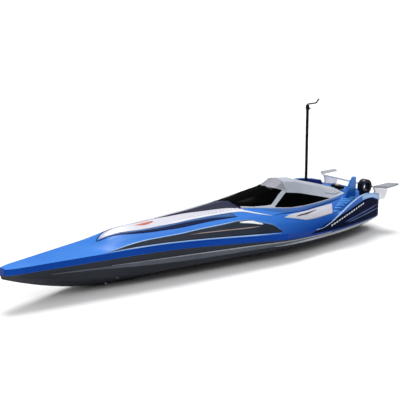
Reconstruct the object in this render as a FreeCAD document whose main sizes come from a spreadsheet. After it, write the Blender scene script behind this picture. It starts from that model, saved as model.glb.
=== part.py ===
import FreeCAD, Part

import Sketcher

import math
import os
import re

# Radio-controlled twin-screw speedboat. Everything is designed in the boat's own
# lines frame: x = 0 at the transom and growing towards the bow, y to port, z up from
# the flat keel pad. Each finished piece is then shifted so that the origin is the
# middle of the whole boat's footprint.

DOC = FreeCAD.newDocument("rc_boat")
SHEET = DOC.addObject("Spreadsheet::Sheet", "dims")

DIMENSIONS = {
    # hull lines
    "hull_length": 440.0, "max_beam": 119.6, "transom_beam": 84.4, "bow_beam": 13.0,
    "widest_at": 147.0, "bow_fullness": 1.04, "nose_round": 12.0, "nose_narrowing": 0.4,
    "seam_aft": 14.5, "seam_fore": 29.8, "seam_run": 0.71, "seam_power": 1.3,
    "strip_height": 5.6, "strip_swell": 0.8, "quarter_start": 110.0, "quarter_top": 30.0,
    "quarter_rise": 23.5, "quarter_fall": 4.9, "chine_height": 10.0, "chine_stern_rise": 4.0,
    "chine_bow_rise": 17.5, "keel_half": 7.0, "pad_depth": 1.0, "keel_rise_at": 300.0,
    "keel_bow_rise": 26.0,
    "crown_height": 51.8, "crown_drop": 8.1, "crown_power": 1.5, "nose_crown": 0.8,
    "fairing_tip": 350.5, "fairing_run": 28.4, "arch_power": 1.4, "arch_fullness": 0.5,
    "arch_blend": 70.0, "side_deck_height": 38.3, "coaming_rise": 9.7, "coaming_from": 100.0,
    "coaming_run": 78.0, "wall": 1.6, "floor_wall": 2.8, "keel_narrows_at": 280.0, "keel_narrowing": 150.0,
    "keel_bow_half": 1.0, "chine_share": 0.97, "chine_stern_in": 0.05, "chine_bow_in": 0.55,
    "chine_stern_run": 73.0, "coaming_half": 23.4, "coaming_spread": 6.1, "coaming_stern_in": 8.0,
    "shoulder_share": 0.62, "shoulder_spread": 0.18, "shoulder_drop": 2.5, "shoulder_fall": 3.1,
    "valley_share": 0.58, "valley_drop": 3.0, "crown_over_coaming": 3.8, "cavity_share": 0.97,
    # hatch and canopy
    "hatch_front": 176.4, "hatch_aft": 27.0, "hatch_beam": 57.0, "hatch_gap": 0.5,
    "hatch_wall": 1.4, "skirt": 5.0, "ledge_width": 3.5, "ledge_depth": 6.5,
    "ledge_thickness": 1.5, "collar_wall": 2.0, "seal_thickness": 1.2, "tongue_width": 8.0,
    "tongue_reach": 5.0, "tongue_thickness": 1.4, "tongue_spread": 9.0, "tongue_top": 47.4,
    "slot_gap": 0.4, "slot_floor": 40.0, "hatch_nose_from": 130.0, "hatch_nose_run": 46.0,
    "hatch_nose_in": 9.5, "hatch_tail_from": 90.0, "hatch_tail_in": 10.5, "sill_height": 1.0,
    # wing, struts, fin, ring
    "wing_span": 99.0, "wing_thickness": 1.8, "wing_underside": 44.2,
    "strut_spread": 36.0, "strut_thickness": 2.0, "strut_foot": 28.0, "strut_chord": 21.0,
    "wing_overhang": 28.0, "foot_pad": 11.0, "foot_thickness": 2.0, "foot_height": 8.0, "strut_rise": 15.2,
    "strut_heel": 5.0, "strut_neck": 11.0, "strut_head": 2.0, "strut_waist": 6.0,
    "wing_root_trail": 8.0, "wing_tip_lead": 22.0, "wing_lead": 31.0, "tip_inset": 3.0,
    "wing_edge": 1.2, "wing_screw": 2.0, "wing_screw_side": 3.3, "wing_screw_head": 1.2,
    "fin_side": 30.0, "fin_thickness": 3.2, "fin_back": 24.5, "fin_base": 18.0,
    "fin_top": 58.5, "fin_rise": 24.5, "ring_side": 33.0, "ring_at": 12.6, "ring_height": 46.6,
    "ring_outer": 15.6, "ring_hole": 9.0, "ring_thickness": 7.0, "ring_foot": 9.0,
    # latch and antenna
    "latch_at": 18.6, "latch_side": 0.0, "latch_knob": 6.0, "latch_arm": 15.0, "latch_width": 4.4,
    "latch_height": 2.6, "latch_screw": 2.5, "latch_crown": 1.4, "tab_thickness": 1.0, "tab_width": 8.0,
    "tab_reach": 4.6, "moving_gap": 0.3, "cap_height": 3.0, "antenna_at": 38.8, "antenna_side": 27.5,
    "antenna_tube": 2.4, "antenna_bore": 1.0, "antenna_top": 125.5, "socket_outer": 5.4,
    "socket_height": 6.0, "wire_size": 0.9, "wire_run": 9.0, "wire_rise": 5.5,
    # propulsion, in each screw's own frame: along the shaft from the propeller's middle
    "screw_spread": 24.0, "screw_at": 6.0, "screw_height": 9.6, "shaft_angle": 5.0,
    "prop_size": 18.0, "prop_hub": 6.0, "prop_hub_length": 11.0, "blade_thickness": 1.2,
    "blade_chord": 8.0, "blade_pitch": 38.0, "nut_size": 5.5, "nut_length": 3.5, "shaft_size": 3.0,
    "tube_outer": 5.0, "tube_start": 8.0, "tube_end": 78.0, "running_gap": 0.05,
    "coupling_start": 80.0, "coupling_length": 13.0, "coupling_size": 8.0,
    "motor_start": 98.0, "motor_length": 32.0, "motor_size": 20.4, "motor_boss": 6.2,
    "boss_length": 3.0, "rotor_size": 2.0, "rotor_length": 20.0, "bulkhead": 3.0,
    "tunnel_radius": 11.0, "tunnel_length": 22.0, "motor_screw": 2.5, "motor_screw_circle": 14.0,
    "motor_screw_head": 1.6, "shaft_grip": 5.0,
    # inside the hull
    "tray_start": 150.0, "tray_length": 106.0, "tray_width": 48.0, "tray_floor": 9.0,
    "tray_wall": 1.6, "tray_height": 9.0, "cell_size": 14.2, "cell_length": 50.0,
    "tray_rib": 18.0, "cell_gap": 0.4, "strap_width": 12.0, "strap_thickness": 1.2, "strap_rise": 3.0,
    "board_start": 268.0, "board_length": 50.0, "board_rib": 12.0,
    "board_width": 34.0, "board_thickness": 1.6, "board_height": 11.0, "rib": 2.4,
    "plate_start": 34.0, "plate_length": 26.0, "plate_height": 28.0, "plate_thickness": 2.0,
    "switch_length": 13.0, "switch_width": 7.0, "switch_height": 6.0, "slider": 4.0,
    "slider_width": 2.8, "switch_side": 8.0, "switch_travel": 3.0, "charge_size": 8.0,
    "charge_bore": 2.2, "charge_height": 7.0, "charge_side": 8.0,
    "contact_at": 335.0, "contact_spread": 7.0, "contact_size": 3.0, "contact_length": 8.0,
    "plug_size": 6.0, "plug_flange": 8.4, "plug_rim": 1.2, "plug_height": 8.0, "post_size": 7.0,
    "post_screw": 2.5, "post_screw_head": 5.0, "post_head_height": 1.6, "post_seat": 3.0,
    "post_bite": 6.0,
}

# Canopy stations, from the engine cover's end to the windshield's foot: distance from
# the transom, window-top half breadth and height, roof-edge half breadth and height,
# ridge height.
CANOPY = [
    (27.0, 15.0, 39.2, 8.0, 41.0, 41.8),
    (43.0, 21.0, 39.8, 11.0, 45.2, 47.0),
    (60.0, 22.5, 41.5, 12.0, 50.0, 52.4),
    (78.0, 20.5, 46.2, 12.0, 55.0, 57.6),
    (96.0, 18.5, 51.0, 11.5, 60.6, 63.4),
    (112.0, 17.0, 54.0, 10.5, 63.0, 65.6),
    (121.0, 17.5, 54.3, 10.5, 59.2, 62.2),
    (129.0, 19.0, 53.4, 11.0, 57.2, 58.9),
    (150.0, 22.0, 50.4, 12.0, 54.6, 55.4),
    (176.4, 16.0, 49.6, 8.0, 51.2, 51.8),
]
CANOPY_COLUMNS = ("at", "window_half", "window_top", "roof_half", "roof_edge", "ridge")

# Port half of the windshield seen from above, and one side window seen from the side:
# distance from the transom against half breadth, and against height.
WINDSHIELD = [
    (178.4, 15.5), (164.0, 23.2), (150.0, 25.6), (142.5, 25.4), (117.8, 15.4), (124.0, 11.0), (127.5, 4.5),
]
SIDE_WINDOW_SILL = (140, 128, 116, 100, 80, 56)
SIDE_WINDOW_TOP = [(78, 45.4), (96, 50.2), (114.5, 53.5)]

# Stations of the hull's loft, and the screw posts as distance from the transom and
# distance from the centre line.
HULL_STATIONS = [
    0, 18, 36, 55, 74, 92, 110, 132, 155, 178, 215,
    255, 290, 320, 332, 342, 352, 365, 385, 405, 425, 440,
]
POSTS = [(75, 38), (205, 40), (330, 17)]


def fill_sheet():
    values = dict(DIMENSIONS)
    for index, row in enumerate(CANOPY):
        for column, value in zip(CANOPY_COLUMNS, row):
            values[f"canopy_{column}_{index}"] = value
    for row, (alias, value) in enumerate(values.items(), start=1):
        SHEET.set(f"A{row}", alias)
        SHEET.set(f"B{row}", str(value))
        SHEET.setAlias(f"B{row}", alias)
    DOC.recompute()
    return set(values)


ALIASES = fill_sheet()


def dim(alias):
    return float(SHEET.get(alias))


def formula(text):
    """Turns 'hull_length / 2' into an expression that names the sheet's cells."""
    def cell(word):
        return f"dims.{word[0]}" if word[0] in ALIASES else word[0]

    return re.sub(r"[a-z_]+[a-z_0-9]*", cell, str(text))


def bind(thing, **properties):
    for name, text in properties.items():
        thing.setExpression(name, formula(text))
    return thing


def place(thing, at=(0, 0, 0), turn=None):
    """Puts an object at a point given as three formulas, with an optional rotation."""
    if turn is not None:
        thing.Placement = FreeCAD.Placement(FreeCAD.Vector(), turn)
    for axis, text in zip("xyz", at):
        thing.setExpression(f"Placement.Base.{axis}", formula(text))
    return thing


def turned(axis, degrees):
    return FreeCAD.Rotation(FreeCAD.Vector(*axis), degrees)


ALONG_X = turned((0, 1, 0), 90)
ALONG_Y = turned((1, 0, 0), -90)


NAME_COUNTS = {}


def new_name(stem):
    NAME_COUNTS[stem] = NAME_COUNTS.get(stem, 0) + 1
    return f"{stem}_{NAME_COUNTS[stem]}"


def box(at, size):
    """A box from its low corner and its three sizes, all formulas."""
    made = DOC.addObject("Part::Box", new_name("block"))
    bind(made, Length=size[0], Width=size[1], Height=size[2])
    return place(made, at)


def rod(at, diameter, length, turn=None):
    """A cylinder from the middle of its first end, along +Z unless it is turned."""
    made = DOC.addObject("Part::Cylinder", new_name("rod"))
    bind(made, Radius=f"({diameter}) / 2", Height=length)
    return place(made, at, turn)


def fuse(*pieces):
    made = DOC.addObject("Part::MultiFuse", new_name("joined"))
    made.Shapes = list(pieces)
    return made


def cut(base, *tools):
    for tool in tools:
        made = DOC.addObject("Part::Cut", new_name("cut"))
        made.Base, made.Tool = base, tool
        base = made
    return base


def common(first, second):
    made = DOC.addObject("Part::Common", new_name("shared"))
    made.Base, made.Tool = first, second
    return made


def group(*pieces):
    """Separate solids that share one node."""
    made = DOC.addObject("Part::Compound", new_name("group"))
    made.Links = list(pieces)
    return made


def form(shape, stem):
    made = DOC.addObject("Part::Feature", new_name(stem))
    made.Shape = shape
    return made


SUBPARTS = []


def subpart(thing, label):
    """Names a finished piece and shifts it from the lines frame to the boat's origin."""
    thing.Label = label
    own = {path.lstrip("."): text for path, text in thing.ExpressionEngine}
    shift = formula("(wing_overhang - hull_length) / 2")
    thing.setExpression("Placement.Base.x", f"{own.get('Placement.Base.x', '0')} + {shift}")
    SUBPARTS.append(thing)
    return thing


# ---------------------------------------------------------------- hull lines

def ease(value):
    value = min(max(value, 0.0), 1.0)
    return value * value * (3 - 2 * value)


def half_beam(x):
    """Plan outline: parabolic aft of the widest station, a power curve to the bow."""
    widest, full = dim("widest_at"), dim("max_beam") / 2
    if x < widest:
        return full - (full - dim("transom_beam") / 2) * (1 - x / widest) ** 2
    run = (x - widest) / (dim("hull_length") - widest)
    half = full - (full - dim("bow_beam") / 2) * run ** dim("bow_fullness")
    nose = max(0.0, (x - dim("hull_length")) / dim("nose_round") + 1)
    return half * (1 - dim("nose_narrowing") * nose ** 2)


def seam_height(x):
    """Line where the deck moulding meets the hull bottom."""
    run = max(0.0, x / (dim("seam_run") * dim("hull_length")))
    return dim("seam_aft") + (dim("seam_fore") - dim("seam_aft")) * ease(run ** dim("seam_power"))


def rim_height(x):
    """Outer top edge of the deck: a side strip forward, a raised quarter aft."""
    along = (x / dim("hull_length") - 0.25) / 0.75
    swell = dim("strip_swell") * math.sin(math.pi * along) if 0 < along < 1 else 0.0
    start, top = dim("quarter_start"), dim("quarter_top")
    quarter = dim("quarter_rise") * ease((start - x) / (start - top))
    quarter -= dim("quarter_fall") * max(0.0, 1 - x / top) ** 1.5
    return seam_height(x) + dim("strip_height") + swell + quarter


def coaming_lift(x):
    """How far the deck has climbed from its stern level to the hatch's front, 0 to 1."""
    return ease((x - dim("coaming_from")) / dim("coaming_run"))


def coaming_height(x):
    """Deck height along the hatch's edge."""
    return dim("side_deck_height") + dim("coaming_rise") * coaming_lift(x)


def hatch_half(x):
    """Half breadth of the hatch outline."""
    half = dim("hatch_beam") / 2
    front = max(0.0, (x - dim("hatch_nose_from")) / dim("hatch_nose_run"))
    back = max(0.0, (dim("hatch_tail_from") - x) / (dim("hatch_tail_from") - dim("hatch_aft")))
    return half - dim("hatch_nose_in") * front ** 3 - dim("hatch_tail_in") * back ** 2


def section(x):
    """Port half of the hull's section, keel to crown, as (y, z) points."""
    length = dim("hull_length")
    half, rim = half_beam(x), rim_height(x)
    forward = max(0.0, (x / length - 0.6) / 0.4)
    keel_run = max(0.0, (x - dim("keel_rise_at")) / (length - dim("keel_rise_at")))
    narrowing = ease((x - dim("keel_narrows_at")) / dim("keel_narrowing"))
    keel = (
        dim("keel_half") + (dim("keel_bow_half") - dim("keel_half")) * narrowing,
        (dim("keel_bow_rise") + dim("pad_depth")) * keel_run ** 2.1 - dim("pad_depth"),
    )
    chine_share = dim("chine_share") - dim("chine_stern_in") * ease(x / dim("widest_at"))
    chine = (
        half * chine_share * (1 - dim("chine_bow_in") * forward ** 3),
        dim("chine_height")
        + dim("chine_stern_rise") * max(0.0, 1 - x / dim("chine_stern_run")) ** 2
        + dim("chine_bow_rise") * forward ** 2.2,
    )
    front = dim("hatch_front") + dim("wall")
    if x >= front:
        nose_crown = rim + dim("nose_crown")
        run = (x - front) / (length - front)
        fairing = dim("crown_height") - dim("crown_drop") * run ** dim("crown_power")
        crown = nose_crown + (fairing - nose_crown) * ease((dim("fairing_tip") - x) / dim("fairing_run"))
        power = dim("arch_power") + dim("arch_fullness") * (1 - ease((x - front) / dim("arch_blend")))
        arch = [(share * half, rim + (crown - rim) * (1 - share ** power)) for share in (0.81, 0.62, 0.4)]
        return [keel, chine, (half, seam_height(x)), (half, rim), *arch, (0, crown)]
    lift = coaming_lift(x)
    coaming = (
        dim("coaming_half")
        + dim("coaming_spread") * ease((front - x) / 40)
        - dim("coaming_stern_in") * ease(1 - x / 70),
        coaming_height(x),
    )
    shoulder = (
        half * (dim("shoulder_share") + dim("shoulder_spread") * ease((front - x) / 70)),
        coaming[1] - dim("shoulder_drop") - dim("shoulder_fall") * lift,
    )
    inboard = ease((dim("quarter_start") - x) / 40)
    forward_valley = rim + dim("valley_share") * (shoulder[1] - rim)
    valley = (
        (half + shoulder[0]) / 2,
        (1 - inboard) * forward_valley + inboard * (shoulder[1] - dim("valley_drop")),
    )
    crown = coaming[1] + dim("crown_over_coaming") * lift
    return [keel, chine, (half, seam_height(x)), (half, rim), valley, shoulder, coaming, (0, crown)]


def inner_section(x):
    """The same section inside the moulding's wall; the raised rim is solid."""
    wall, floor = dim("wall"), dim("floor_wall")
    keel, chine, seam, rim, valley, shoulder, coaming, crown = section(x)
    return [
        (keel[0] * 0.9, keel[1] + floor),
        (chine[0] - wall, chine[1] + floor),
        (seam[0] - wall, seam[1] + 0.2),
        (rim[0] - wall, min(rim[1], valley[1]) - wall),
        (valley[0], valley[1] - wall),
        (shoulder[0], shoulder[1] - wall),
        (coaming[0], coaming[1] - wall),
        (0, crown[1] - wall),
    ]


def loft(stations, outline, straight=False):
    """Lofts mirrored half outlines, each from its lowest point to its crown at y = 0."""
    wires = []
    for x in stations:
        port = outline(x)
        starboard = [(-y, z) for y, z in reversed(port[:-1])]
        points = [FreeCAD.Vector(x, y, z) for y, z in port + starboard]
        wires.append(Part.makePolygon(points + points[:1]))
    return Part.makeLoft(wires, True, straight)


def spaced(first, last, count):
    return [first + (last - first) * i / (count - 1) for i in range(count)]


moulded_form = form(loft(HULL_STATIONS, section), "moulded_form")
hull_form = cut(moulded_form, box((-10, -80, -20), ("hull_length + 20", 160, 20)))
cavity_stations = [dim("wall") + x * dim("cavity_share") for x in HULL_STATIONS]
hull_cavity = form(loft(cavity_stations, inner_section), "hull_cavity")


def layer(low, high, first=-20.0, last=460.0):
    """Everything between two height curves of x, right across the boat."""
    def curve(height, stations):
        spline = Part.BSplineCurve()
        spline.interpolate([FreeCAD.Vector(x, -80, height(x)) for x in stations])
        return spline.toShape()

    stations = spaced(first, last, 25)
    bottom, top = curve(low, stations), curve(high, stations)
    corners = [edge.Vertexes[end].Point for edge, end in ((bottom, 1), (top, 1), (top, 0), (bottom, 0))]
    sides = [Part.makeLine(corners[0], corners[1]), Part.makeLine(corners[2], corners[3])]
    face = Part.Face(Part.Wire(Part.sortEdges([bottom, top, *sides])[0]))
    return form(face.extrude(FreeCAD.Vector(0, 160, 0)), "layer")


def seam_for_split(x):
    return seam_height(min(max(x, 0.0), dim("hull_length")))


def coaming_for_split(drop):
    return lambda x: coaming_height(min(max(x, 0.0), dim("coaming_from") + dim("coaming_run"))) - drop


def plan_prism(offset, low=20.0, high=75.0):
    """The hatch's outline grown by an offset, as an upright prism."""
    first, last = dim("hatch_aft") - offset, dim("hatch_front") + offset
    stations = spaced(first, last, 15)

    def side(sign):
        spline = Part.BSplineCurve()
        inside = [min(max(x, dim("hatch_aft")), dim("hatch_front")) for x in stations]
        spline.interpolate([
            FreeCAD.Vector(x, sign * (hatch_half(held) + offset), low) for x, held in zip(stations, inside)
        ])
        return spline.toShape()

    port, starboard = side(1), side(-1)
    ends = [Part.makeLine(port.Vertexes[k].Point, starboard.Vertexes[k].Point) for k in (0, 1)]
    face = Part.Face(Part.Wire(Part.sortEdges([port, starboard, *ends])[0]))
    return form(face.extrude(FreeCAD.Vector(0, 0, high - low)), "outline")


below_seam = layer(lambda x: -5.0, seam_for_split)

# ---------------------------------------------------------------- hull bottom

SIDES = (("port", 1), ("starboard", -1))


def screw_frame(side):
    """Rotation and base point of a propeller shaft's own frame, local z along the shaft."""
    turn = turned((0, 1, 0), 90 - dim("shaft_angle"))
    return turn, ("screw_at", f"{side} * screw_spread", "screw_height")


def along_shaft(side, start, diameter, length):
    """A cylinder on a shaft's line, starting a distance ahead of the propeller."""
    turn, (x, y, z) = screw_frame(side)
    at = (f"{x} + ({start}) * cos(shaft_angle)", y, f"{z} + ({start}) * sin(shaft_angle)")
    return rod(at, diameter, length, turn)


def post_points():
    return [(x, side * y) for x, y in POSTS for _, side in SIDES]


def post_floor(x, y):
    """Height of the hull's underside beside a screw post."""
    keel, chine = section(x)[:2]
    return keel[1] + (chine[1] - keel[1]) * (abs(y) - keel[0]) / (chine[0] - keel[0])


shell = cut(hull_form, hull_cavity)
bottom = common(shell, below_seam)
tunnel_walls = fuse(*[
    rod((0, f"{side} * screw_spread", "screw_height"),
        "2 * (tunnel_radius + wall)", "tunnel_length + wall", ALONG_X)
    for _, side in SIDES
])
ribs = fuse(*[
    box((start, f"{side} * {out} - rib / 2", 0), (length, "rib", height))
    for start, out, length, height in (
        ("tray_start", "tray_rib", "tray_length", "tray_floor"),
        ("board_start", "board_rib", "board_length", "board_height"),
    )
    for _, side in SIDES
])
posts = fuse(*[rod((x, y, 0), "post_size", 60) for x, y in post_points()])
moulded = common(common(fuse(tunnel_walls, ribs, posts), hull_form), below_seam)
tunnels = [
    rod((-1, f"{side} * screw_spread", "screw_height"), "2 * tunnel_radius", "tunnel_length + 1", ALONG_X)
    for _, side in SIDES
]
tube_holes = [along_shaft(side, "tube_start", "tube_outer", "tube_end - tube_start") for _, side in SIDES]
contact_holes = [
    rod(("contact_at", f"{side} * contact_spread", 0), "contact_size", "contact_length + 4")
    for _, side in SIDES
]
screw_holes = [
    rod((x, y, 0), "post_screw", seam_height(x) + dim("post_bite") + 0.4)
    for x, y in post_points()
]

head_holes = [
    rod((x, y, 0), "post_screw_head + 2 * moving_gap", post_floor(x, y) + dim("post_seat"))
    for x, y in post_points()
]
plug_hole = rod((-1, 0, "plug_height"), "plug_size", 5, ALONG_X)
lower_hull = cut(
    fuse(bottom, moulded), *tunnels, *tube_holes, *contact_holes, *screw_holes, *head_holes, plug_hole
)
subpart(lower_hull, "lower_hull")

# ---------------------------------------------------------------- deck

deck_top = cut(shell, below_seam)
collar = common(
    cut(plan_prism(dim("hatch_gap") + dim("collar_wall")), plan_prism(dim("hatch_gap"))),
    layer(coaming_for_split(dim("ledge_depth") + dim("ledge_thickness")), coaming_for_split(-20.0)),
)
ledge_top = coaming_for_split(dim("ledge_depth"))
ledge = common(
    cut(plan_prism(dim("hatch_gap") + dim("collar_wall")), plan_prism(-dim("ledge_width"))),
    layer(coaming_for_split(dim("ledge_depth") + dim("ledge_thickness")), ledge_top),
)
deck_posts = cut(common(posts, hull_form), below_seam)
collar_in_hull = common(fuse(collar, ledge), hull_form)
tongue_slots = [
    box(("hatch_front - 1", f"{side} * tongue_spread - tongue_width / 2 - slot_gap", "slot_floor"),
        ("tongue_reach + 6", "tongue_width + 2 * slot_gap", "tongue_top + 3 - slot_floor"))
    for _, side in SIDES
]
foot_screw_sides = [
    f"{side} * strut_spread + {way} * wing_screw_side" for _, side in SIDES for way in (-1, 1)
]
foot_screw_height = "strut_foot + foot_height / 2"
foot_screw_holes = [
    rod((-1, middle, foot_screw_height), "wing_screw", 5, ALONG_X) for middle in foot_screw_sides
]
deck_shell = cut(
    fuse(cut(deck_top, plan_prism(dim("hatch_gap"))), cut(collar_in_hull, *tongue_slots), deck_posts),
    *screw_holes,
    *foot_screw_holes,
    rod(("latch_at", "-latch_side", 30), "latch_screw", 12),
    rod(("antenna_at", "-antenna_side", 30), "socket_outer - 1.4", 12),
)
subpart(deck_shell, "deck_shell")

seal = common(
    cut(plan_prism(0.0), plan_prism(-dim("ledge_width"))),
    layer(ledge_top, coaming_for_split(dim("ledge_depth") - dim("seal_thickness"))),
)
subpart(cut(seal, *tongue_slots), "hatch_seal")

# ---------------------------------------------------------------- canopy hatch

def canopy_row(x):
    """Canopy station values at x: the given stations themselves, or between two of them."""
    rows = [[dim(f"canopy_{c}_{i}") for c in CANOPY_COLUMNS] for i in range(len(CANOPY))]
    x = min(max(x, rows[0][0]), rows[-1][0])
    for low, high in zip(rows, rows[1:]):
        if x <= high[0]:
            share = (x - low[0]) / (high[0] - low[0])
            return [a + (b - a) * share for a, b in zip(low, high)]


def canopy_outline(inset):
    def outline(x):
        _, window_half, window_top, roof_half, roof_edge, ridge = canopy_row(x)
        base, foot = hatch_half(x) - inset, coaming_height(x) - dim("skirt") - (2.0 if inset else 0.0)
        waist = min(coaming_height(x) + 0.4, window_top - 0.4)
        return [
            (base, foot), (base, waist - inset), (window_half - inset, window_top - inset),
            (roof_half - inset / 2, roof_edge - inset), (0, ridge - inset),
        ]
    return outline


canopy_at = [row[0] for row in CANOPY]
canopy_at = sorted(canopy_at + [(low + high) / 2 for low, high in zip(canopy_at, canopy_at[1:])])
canopy_form = form(loft(canopy_at, canopy_outline(0.0), straight=True), "canopy_form")
inside_at = [canopy_at[0] + dim("hatch_wall"), *canopy_at[1:-1], canopy_at[-1] - dim("hatch_wall")]
canopy_inside = form(loft(inside_at, canopy_outline(dim("hatch_wall")), straight=True), "canopy_inside")
canopy_shell = cut(canopy_form, canopy_inside)


def prism(points, direction):
    """A straight prism of a flat polygon."""
    corners = [FreeCAD.Vector(*point) for point in points]
    face = Part.Face(Part.makePolygon(corners + corners[:1]))
    return form(face.extrude(FreeCAD.Vector(*direction)), "prism")


def windshield_region():
    outline = WINDSHIELD + [(x, -y) for x, y in reversed(WINDSHIELD)]
    return prism([(x, y, dim("side_deck_height")) for x, y in outline], (0, 0, 30))


def side_window_region(side):
    sill = [(x, coaming_height(x) + dim("sill_height")) for x in SIDE_WINDOW_SILL]
    return prism([(x, side * 12.0, z) for x, z in sill + SIDE_WINDOW_TOP], (0, side * 25.0, 0))


windshield_cut = cut(windshield_region(), layer(lambda x: 0.0, coaming_for_split(-0.2)))
side_cuts = {name: side_window_region(side) for name, side in SIDES}
tongues = fuse(*[
    box(("hatch_front - 4", f"{side} * tongue_spread - tongue_width / 2", "tongue_top - tongue_thickness"),
        ("tongue_reach + 4", "tongue_width", "tongue_thickness"))
    for _, side in SIDES
])
aft_tab = box(
    ("hatch_aft - tab_reach", "-latch_side - tab_width / 2", "side_deck_height + moving_gap"),
    ("tab_reach + 0.6", "tab_width", "tab_thickness"),
)
subpart(
    fuse(cut(canopy_shell, windshield_cut, side_cuts["port"], side_cuts["starboard"]), tongues, aft_tab),
    "canopy_hatch",
)
subpart(common(canopy_shell, windshield_cut), "windshield")
for name, _ in SIDES:
    subpart(common(canopy_shell, side_cuts[name]), f"side_window_{name}")

# ---------------------------------------------------------------- wing, struts, fin, ring

def sketched_pad(stem, plane, corners, thickness, fillet=None):
    """A body padded from one closed outline of formula pairs, none of them negative."""
    body = DOC.addObject("PartDesign::Body", new_name(stem))
    sketch = body.newObject("Sketcher::SketchObject", new_name(f"{stem}_outline"))
    origin = next(f for f in body.Origin.OriginFeatures if f.Role == plane)
    sketch.AttachmentSupport, sketch.MapMode = (origin, ""), "FlatFace"
    texts = [tuple(formula(text) for text in corner) for corner in corners]
    points = [FreeCAD.Vector(*[float(SHEET.evalExpression(text)) for text in corner], 0) for corner in texts]
    for start, end in zip(points, points[1:] + points[:1]):
        sketch.addGeometry(Part.LineSegment(start, end), False)
    for index, (point, corner) in enumerate(zip(points, texts)):
        following = (index + 1) % len(points)
        sketch.addConstraint(Sketcher.Constraint("Coincident", index, 2, following, 1))
        for kind, value, text in zip(("DistanceX", "DistanceY"), (point.x, point.y), corner):
            number = sketch.addConstraint(Sketcher.Constraint(kind, -1, 1, index, 1, value))
            sketch.setExpression(f"Constraints[{number}]", text)
    pad = body.newObject("PartDesign::Pad", new_name(f"{stem}_pad"))
    pad.Profile = sketch
    pad.setExpression("Length", formula(thickness))
    pad.Midplane = True
    DOC.recompute()
    body.Tip = pad
    if fillet:
        along = {"XY_Plane": FreeCAD.Vector(0, 0, 1), "XZ_Plane": FreeCAD.Vector(0, 1, 0)}[plane]
        names = [
            f"Edge{number}" for number, edge in enumerate(pad.Shape.Edges, start=1)
            if abs(edge.tangentAt(edge.FirstParameter).dot(along)) > 0.99
        ]
        rounding = body.newObject("PartDesign::Fillet", new_name(f"{stem}_rounding"))
        rounding.Base = (pad, names)
        rounding.setExpression("Radius", formula(fillet))
        DOC.recompute()
        body.Tip = rounding
    return body


wing_corners = [
    ("wing_root_trail", "wing_span / 2 - strut_spread"), ("0.5", "tip_inset"), ("wing_tip_lead", "0.5"),
    ("wing_lead", "wing_span / 2 - strut_spread"), ("wing_lead", "wing_span / 2 + strut_spread"),
    ("wing_tip_lead", "wing_span - 0.5"), ("0.5", "wing_span - tip_inset"),
    ("wing_root_trail", "wing_span / 2 + strut_spread"),
]
wing = sketched_pad("wing", "XY_Plane", wing_corners, "wing_thickness", "wing_edge")
place(wing, ("-wing_overhang - 0.5", "-wing_span / 2", "wing_underside + wing_thickness / 2"))
subpart(wing, "rear_wing")

strut_corners = [
    ("strut_heel", "0.1"), ("strut_chord", "0.1"), ("strut_chord", "strut_neck"),
    ("strut_chord + strut_head", "strut_rise"), ("0.1", "strut_rise"), ("strut_heel * 0.3", "strut_waist"),
]
for name, side in SIDES:
    blade = sketched_pad("strut", "XZ_Plane", strut_corners, "strut_thickness")
    place(blade, ("-strut_chord", f"{side} * strut_spread", "wing_underside - strut_rise"))
    foot = box(
        ("-foot_thickness", f"{side} * strut_spread - foot_pad / 2", "strut_foot"),
        ("foot_thickness", "foot_pad", "foot_height"),
    )
    holes = [rod((-8, middle, foot_screw_height), "wing_screw", 16, ALONG_X) for middle in foot_screw_sides]
    subpart(cut(fuse(blade, foot), *holes), f"wing_strut_{name}")
foot_screws = [
    fuse(
        rod(("-foot_thickness", middle, foot_screw_height), "wing_screw", "foot_thickness + 4", ALONG_X),
        rod(("-foot_thickness - wing_screw_head", middle, foot_screw_height),
            "2 * wing_screw - 0.4", "wing_screw_head", ALONG_X),
    )
    for middle in foot_screw_sides
]
subpart(group(*foot_screws), "wing_screws")

fin_corners = [
    ("0.1", "0.1"), ("fin_base", "0.1"),
    ("fin_base - 1", "fin_rise * 0.18"), ("fin_base * 0.72", "fin_rise * 0.45"),
    ("fin_base * 0.42", "fin_rise * 0.8"), ("fin_base * 0.2", "fin_rise"), ("0.1", "fin_rise"),
]
fin = sketched_pad("fin", "XZ_Plane", fin_corners, "fin_thickness")
place(fin, ("fin_back", "fin_side", "fin_top - fin_rise"))
subpart(cut(fin, hull_form), "stern_fin")

ring_low = "ring_side - ring_thickness / 2"
ring_solid = fuse(
    rod(("ring_at", ring_low, "ring_height"), "ring_outer", "ring_thickness", ALONG_Y),
    box(("ring_at - ring_foot / 2", ring_low, "ring_height - ring_outer / 2 - 4"),
        ("ring_foot", "ring_thickness", 6)),
)
ring_hole = rod(("ring_at", "ring_side - 10", "ring_height"), "ring_hole", 20, ALONG_Y)
subpart(cut(ring_solid, ring_hole, hull_form), "stern_ring")

# ---------------------------------------------------------------- latch and antenna

deck_level = "side_deck_height"
arm_seat = "tab_thickness + 2 * moving_gap + running_gap"
latch_shape = cut(
    fuse(
        rod((0, 0, "moving_gap"), "latch_knob", "latch_height + latch_crown"),
        box(("-latch_width / 2", "-latch_arm / 2", arm_seat), ("latch_width", "latch_arm", "latch_height")),
    ),
    rod((0, 0, -1), "latch_screw + 2 * running_gap", 10),
)
place(latch_shape, ("latch_at", "-latch_side", deck_level))
subpart(latch_shape, "hatch_latch")
latch_top = f"{arm_seat} + latch_height"
latch_bolt = fuse(
    rod((0, 0, -6), "latch_screw", f"6.5 + {latch_top}"),
    rod((0, 0, f"{latch_top} + moving_gap"), "latch_screw + 2.4", "latch_crown"),
)
place(latch_bolt, ("latch_at", "-latch_side", deck_level))
subpart(latch_bolt, "latch_screw")

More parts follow.
